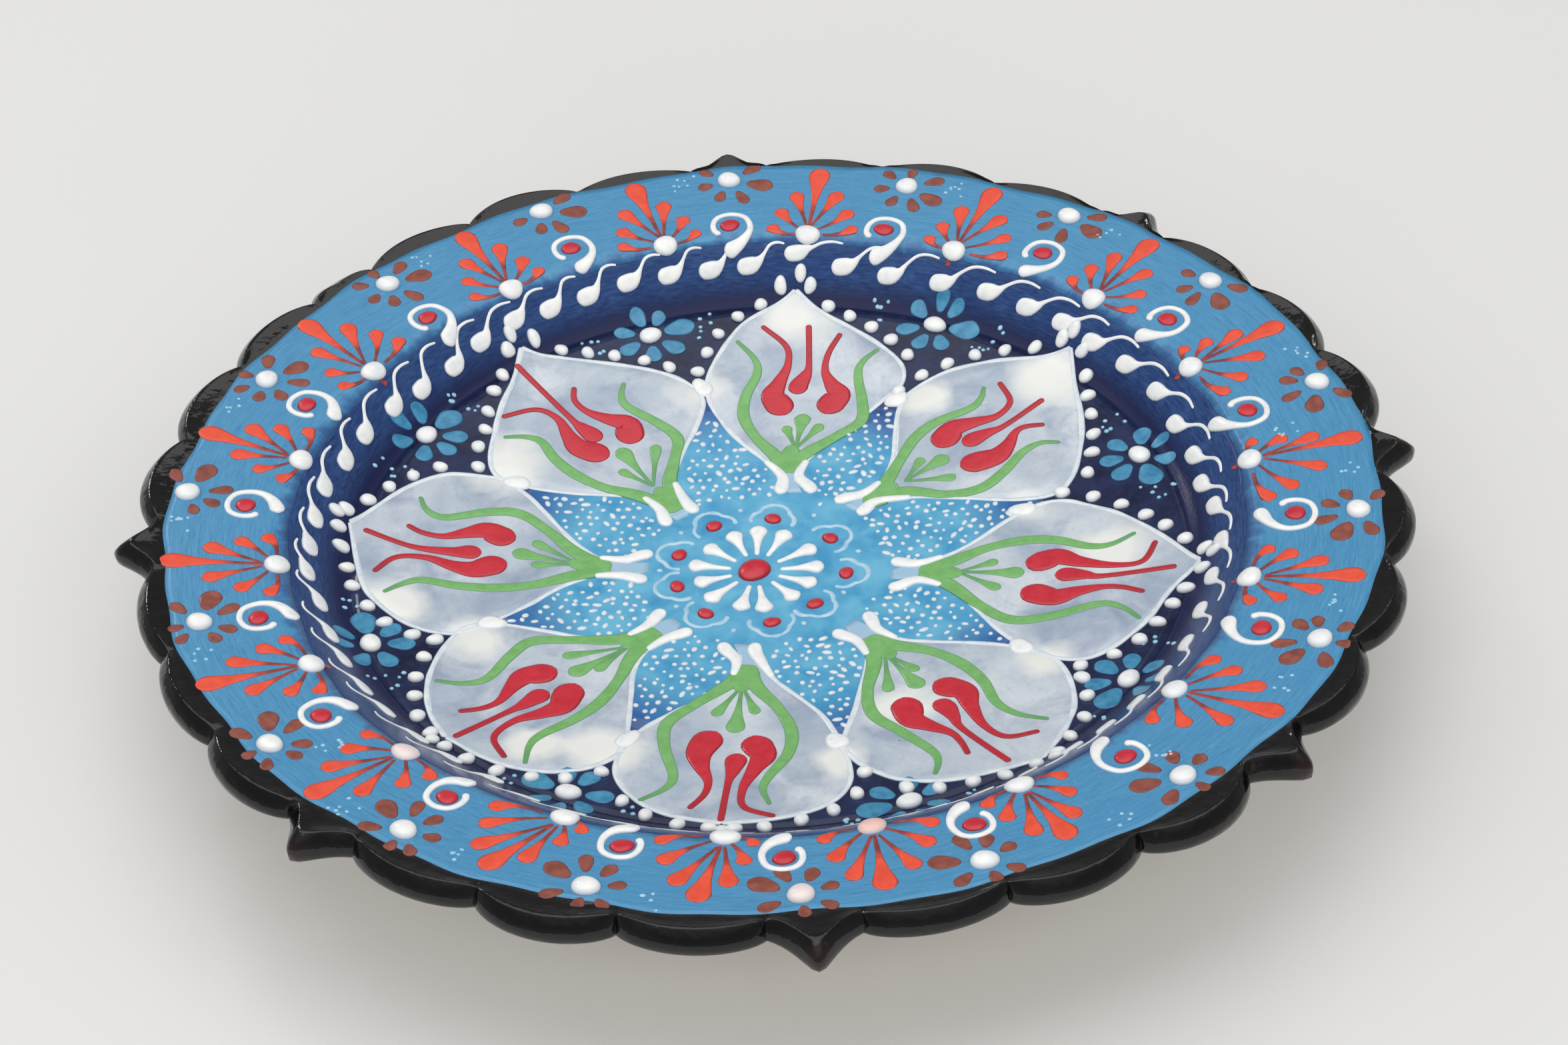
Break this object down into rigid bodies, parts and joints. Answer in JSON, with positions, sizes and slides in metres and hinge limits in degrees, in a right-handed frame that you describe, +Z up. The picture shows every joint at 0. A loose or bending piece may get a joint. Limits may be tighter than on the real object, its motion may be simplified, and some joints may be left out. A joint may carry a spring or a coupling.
{
  "type": "hand painted ceramic plate",
  "caption": "Shallow round ceramic plate on a foot ring, with a scalloped and pointed black rim, coloured glaze fields and raised enamel petals, tulips, fans, flowers and dots.",
  "frame": {"origin": "middle of the plate on the plane that the foot ring stands on", "axes": "+Z up out of the well, along the plate's axis; +X and -Y each run through a point of the rim"},
  "size_m": [0.18, 0.18, 0.025],
  "materials": {
    "clay": "clear glaze over white clay, bare on the foot ring",
    "black_glaze": "glossy black glaze",
    "sky_glaze": "satin turquoise blue, brushed in rings",
    "cobalt_glaze": "glossy cobalt blue",
    "navy_glaze": "glossy navy",
    "cloud_glaze": "off-white sponged with grey blue",
    "turquoise_glaze": "turquoise, darker towards the leaf tips",
    "white_enamel": "raised glossy enamel",
    "red_enamel": "raised crimson enamel",
    "orange_enamel": "raised orange-red enamel",
    "green_enamel": "raised leaf green enamel",
    "blue_enamel": "raised mid blue enamel",
    "brown_enamel": "raised red-brown enamel"
  },
  "bodies": {
    "root": {"clay_body": "clay", "scalloped_rim": "black_glaze", "flange_glaze": "sky_glaze", "cavetto_glaze": "cobalt_glaze", "well_ground": "navy_glaze", "white_petals": "cloud_glaze", "turquoise_ground": "turquoise_glaze", "petal_outlines": "white_enamel", "petal_feet": "white_enamel", "petal_edge_dots": "white_enamel", "leaf_speckles": "white_enamel", "tulip_lobes": "red_enamel", "tulip_leaves": "green_enamel", "tulip_sprigs": "green_enamel", "rosette_centre": "red_enamel", "rosette_drops": "white_enamel", "rosette_ring_dots": "red_enamel", "rosette_loops": "white_enamel", "navy_flower_petals": "blue_enamel", "navy_flower_centres": "white_enamel", "navy_speckles": "white_enamel", "comma_band": "white_enamel", "fan_drops": "orange_enamel", "fan_dots": "white_enamel", "curl_strokes": "white_enamel", "curl_dots": "red_enamel", "brown_flower_petals": "brown_enamel", "brown_flower_centres": "white_enamel", "flange_speckles": "white_enamel"}
  },
  "joints": []
}
